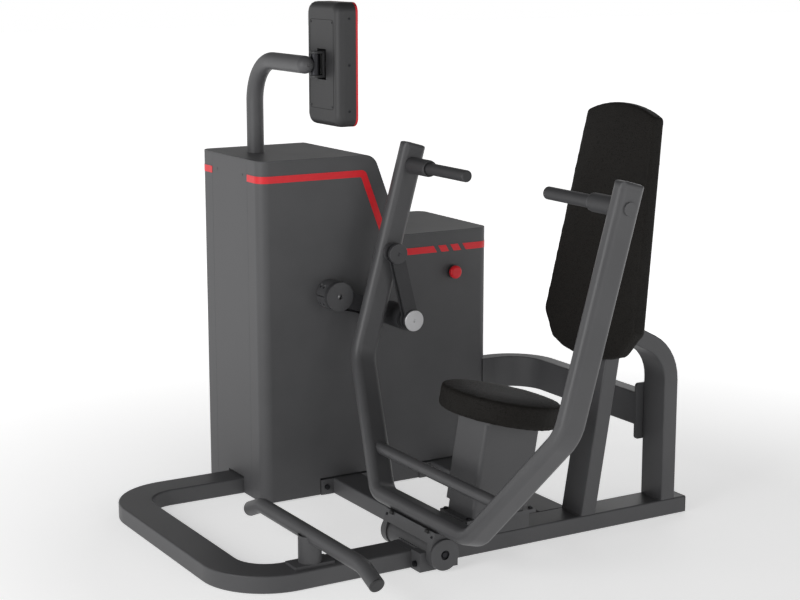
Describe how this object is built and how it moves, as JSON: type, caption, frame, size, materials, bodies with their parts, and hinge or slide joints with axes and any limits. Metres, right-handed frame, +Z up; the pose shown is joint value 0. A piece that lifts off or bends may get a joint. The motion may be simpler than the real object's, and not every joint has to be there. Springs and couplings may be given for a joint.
{
  "type": "seated chest press machine",
  "caption": "Seated chest press with an oval seat, tall backrest, footrest bar, low-pivoted U-shaped push lever, crank drive in a side tower and an upright screen.",
  "frame": {"origin": "on the floor under the seat, in the centre plane of the seat, backrest and lever", "axes": "+X to the sitter's left, away from the tower; +Y to the sitter's back, so the sitter faces -Y; +Z up"},
  "size_m": [1.608, 1.498, 1.511],
  "materials": {
    "powder_coat": "satin dark grey powder coat",
    "shell": "satin dark grey powder-coated sheet",
    "upholstery": "black grained upholstery",
    "red_trim": "glossy red",
    "dark_plastic": "matt black plastic",
    "rubber": "matt black rubber",
    "bright_steel": "brushed steel",
    "bearing_bronze": "bronze",
    "board": "dark stained plywood",
    "motor_case": "painted cast casing",
    "screen_face": "glossy black panel with a red edge"
  },
  "bodies": {
    "frame": {"front_loop": "powder_coat", "pivot_block": "powder_coat", "pivot_housing": "powder_coat", "pivot_bushes": "bearing_bronze", "long_rail": "powder_coat", "rail_end_cap": "dark_plastic", "cross_tubes": "powder_coat", "cross_tube_flanges": "powder_coat", "frame_bolts": "bright_steel", "footrest_post": "powder_coat", "footrest_bar": "powder_coat", "footrest_caps": "dark_plastic", "seat_pedestal": "powder_coat", "seat_post": "bright_steel", "slant_post": "powder_coat", "rear_post": "powder_coat", "arc_tube": "powder_coat", "arc_flange": "powder_coat", "back_board": "board", "back_pad": "upholstery", "tower_base": "powder_coat", "tower_uprights": "powder_coat", "near_cover": "shell", "far_cover": "shell", "front_panel": "shell", "rear_panel": "shell", "tower_lid": "shell", "stripe_trim": "red_trim", "drive_motor": "motor_case", "drive_belt": "rubber", "shaft_bearings": "bright_steel", "control_box": "dark_plastic", "button_collar": "dark_plastic", "screen_post": "powder_coat", "screen_barrel": "bright_steel"},
    "lever": {"lever_frame": "powder_coat", "lever_tops": "powder_coat", "lever_cross_bar": "powder_coat", "lever_saddle": "powder_coat", "pivot_shaft": "bright_steel", "pivot_caps": "powder_coat", "handle_bars": "bright_steel", "hand_sleeves": "rubber", "sleeve_rings": "bright_steel", "hand_grips": "rubber", "link_boss": "dark_plastic"},
    "link": {"link_plates": "powder_coat", "link_pin": "bright_steel", "pin_caps": "powder_coat"},
    "crank": {"drive_shaft": "bright_steel", "drive_hub": "powder_coat", "crank_arm": "powder_coat", "hub_screws": "bright_steel"},
    "motor_shaft": {"motor_pulley": "bright_steel"},
    "seat": {"seat_sleeve": "powder_coat", "seat_cushion": "upholstery"},
    "stop_button": {"stop_button": "red_trim"},
    "screen_swivel": {"screen_clevis": "dark_plastic"},
    "screen": {"screen_case": "dark_plastic", "screen_glass": "screen_face"}
  },
  "joints": [
    {"name": "lever_swing", "type": "hinge", "parent": "frame", "child": "lever", "pos_m": [0, -0.235, 0.0485], "axis": [1, 0, 0], "range_deg": [0, 16]},
    {"name": "link_swing", "type": "hinge", "parent": "lever", "child": "link", "pos_m": [-0.47, -0.03695, 0.77252], "axis": [1, 0, 0], "range_deg": [0, 54.9]},
    {"name": "crank_turn", "type": "hinge", "parent": "frame", "child": "crank", "pos_m": [-0.6, -0.1677, 0.635], "axis": [1, 0, 0], "range_deg": [0, 62.9]},
    {"name": "motor_turn", "type": "hinge", "parent": "frame", "child": "motor_shaft", "pos_m": [-0.85, 0.19, 0.3], "axis": [1, 0, 0], "range_deg": [0, 188.5]},
    {"name": "seat_height", "type": "slide", "parent": "frame", "child": "seat", "axis": [0, 0.1633, 0.9866], "range_m": [0, 0.12]},
    {"name": "stop_press", "type": "slide", "parent": "frame", "child": "stop_button", "axis": [-1, 0, 0], "range_m": [0, 0.004], "stiffness_N_per_m": 800},
    {"name": "screen_turn", "type": "hinge", "parent": "frame", "child": "screen_swivel", "pos_m": [-0.555, -0.258, 1.333], "axis": [0, 0, 1], "range_deg": [-40, 14]},
    {"name": "screen_tilt", "type": "hinge", "parent": "screen_swivel", "child": "screen", "pos_m": [-0.555, -0.222, 1.333], "axis": [1, 0, 0], "range_deg": [-8, 8]}
  ],
  "couplings": [
    {"joint": "link_swing", "follows": "lever_swing", "ratio": 3.426},
    {"joint": "crank_turn", "follows": "lever_swing", "ratio": 3.925},
    {"joint": "motor_turn", "follows": "lever_swing", "ratio": 11.775}
  ]
}
